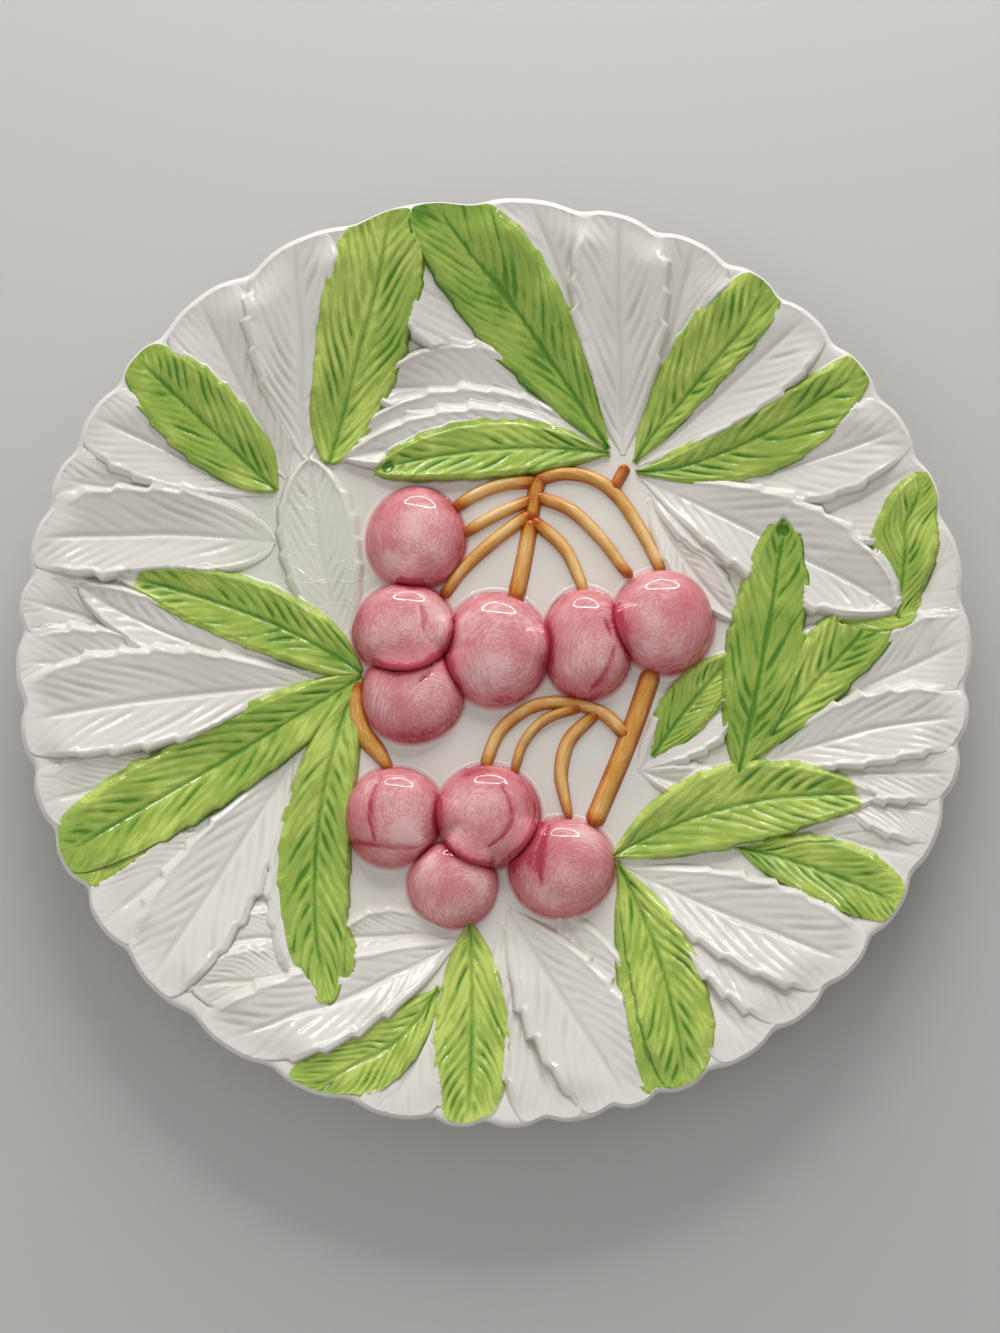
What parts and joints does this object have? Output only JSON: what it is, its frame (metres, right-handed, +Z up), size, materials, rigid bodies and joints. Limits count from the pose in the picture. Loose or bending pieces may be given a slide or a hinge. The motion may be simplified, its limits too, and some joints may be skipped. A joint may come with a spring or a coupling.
{
  "type": "decorative plate",
  "caption": "Round relief plate with a scalloped rim, a foot ring, a flat well with berries on stems and a border of overlapping leaves.",
  "frame": {"origin": "centre of the foot ring's underside, with the plate lying face up", "axes": "+Z up along the plate's axis, +Y towards the top of the decoration, +X to its right"},
  "size_m": [0.2997, 0.2997, 0.0288],
  "materials": {
    "white_glaze": "glossy white glaze",
    "green_glaze": "brushed green under a glossy glaze",
    "pink_glaze": "brushed pink under a glossy glaze",
    "tan_glaze": "brushed tan under a glossy glaze"
  },
  "bodies": {
    "root": {"plate_body": "white_glaze", "berry_top_left": "pink_glaze", "berry_left": "pink_glaze", "berry_centre": "pink_glaze", "berry_right": "pink_glaze", "berry_right_inner": "pink_glaze", "berry_lower_middle": "pink_glaze", "berry_lower_left": "pink_glaze", "berry_lower_right": "pink_glaze", "berry_left_behind": "pink_glaze", "berry_lower_behind": "pink_glaze", "stem_spray_upper": "tan_glaze", "stem_spray_lower": "tan_glaze", "stem_left": "tan_glaze", "green_leaf_right_tall": "green_glaze", "green_leaf_right_lower": "green_glaze", "green_leaf_left_upright": "green_glaze", "green_leaf_right_upper": "green_glaze", "green_leaf_top_right": "green_glaze", "green_leaf_above_stems": "green_glaze", "green_leaf_top": "green_glaze", "green_leaf_top_left": "green_glaze", "green_leaf_left_upper": "green_glaze", "green_leaf_left_middle": "green_glaze", "green_leaf_left_lower": "green_glaze", "green_leaf_bottom": "green_glaze", "green_leaf_bottom_right": "green_glaze", "green_leaf_right_outer": "green_glaze", "green_leaf_right_inner": "green_glaze", "green_leaf_right_tip": "green_glaze", "green_leaf_right_fold": "green_glaze", "green_leaf_right_slanted": "green_glaze", "green_leaf_bottom_left": "green_glaze", "white_leaf_bottom_left": "white_glaze", "white_leaf_beside_well": "white_glaze", "white_leaf_left": "white_glaze", "white_leaf_left_low": "white_glaze", "white_leaf_left_under": "white_glaze", "white_leaf_lower_left": "white_glaze", "white_leaf_right_bent": "white_glaze", "white_leaf_right_narrow": "white_glaze", "white_leaf_right_short": "white_glaze", "white_leaf_right_upper": "white_glaze", "white_leaf_top_right": "white_glaze", "white_leaf_top": "white_glaze", "white_leaf_top_middle": "white_glaze", "white_leaf_top_left": "white_glaze", "white_leaf_left_top": "white_glaze", "white_leaf_fan_low": "white_glaze", "white_leaf_fan_middle": "white_glaze", "white_leaf_fan_high": "white_glaze", "white_leaf_right_low": "white_glaze", "white_leaf_right": "white_glaze", "white_leaf_right_lower": "white_glaze", "white_leaf_lower_right": "white_glaze", "white_leaf_lower_right_second": "white_glaze", "white_leaf_lower_right_third": "white_glaze", "white_leaf_bottom_right": "white_glaze", "white_leaf_bottom": "white_glaze", "white_leaf_bottom_second": "white_glaze"}
  },
  "joints": []
}
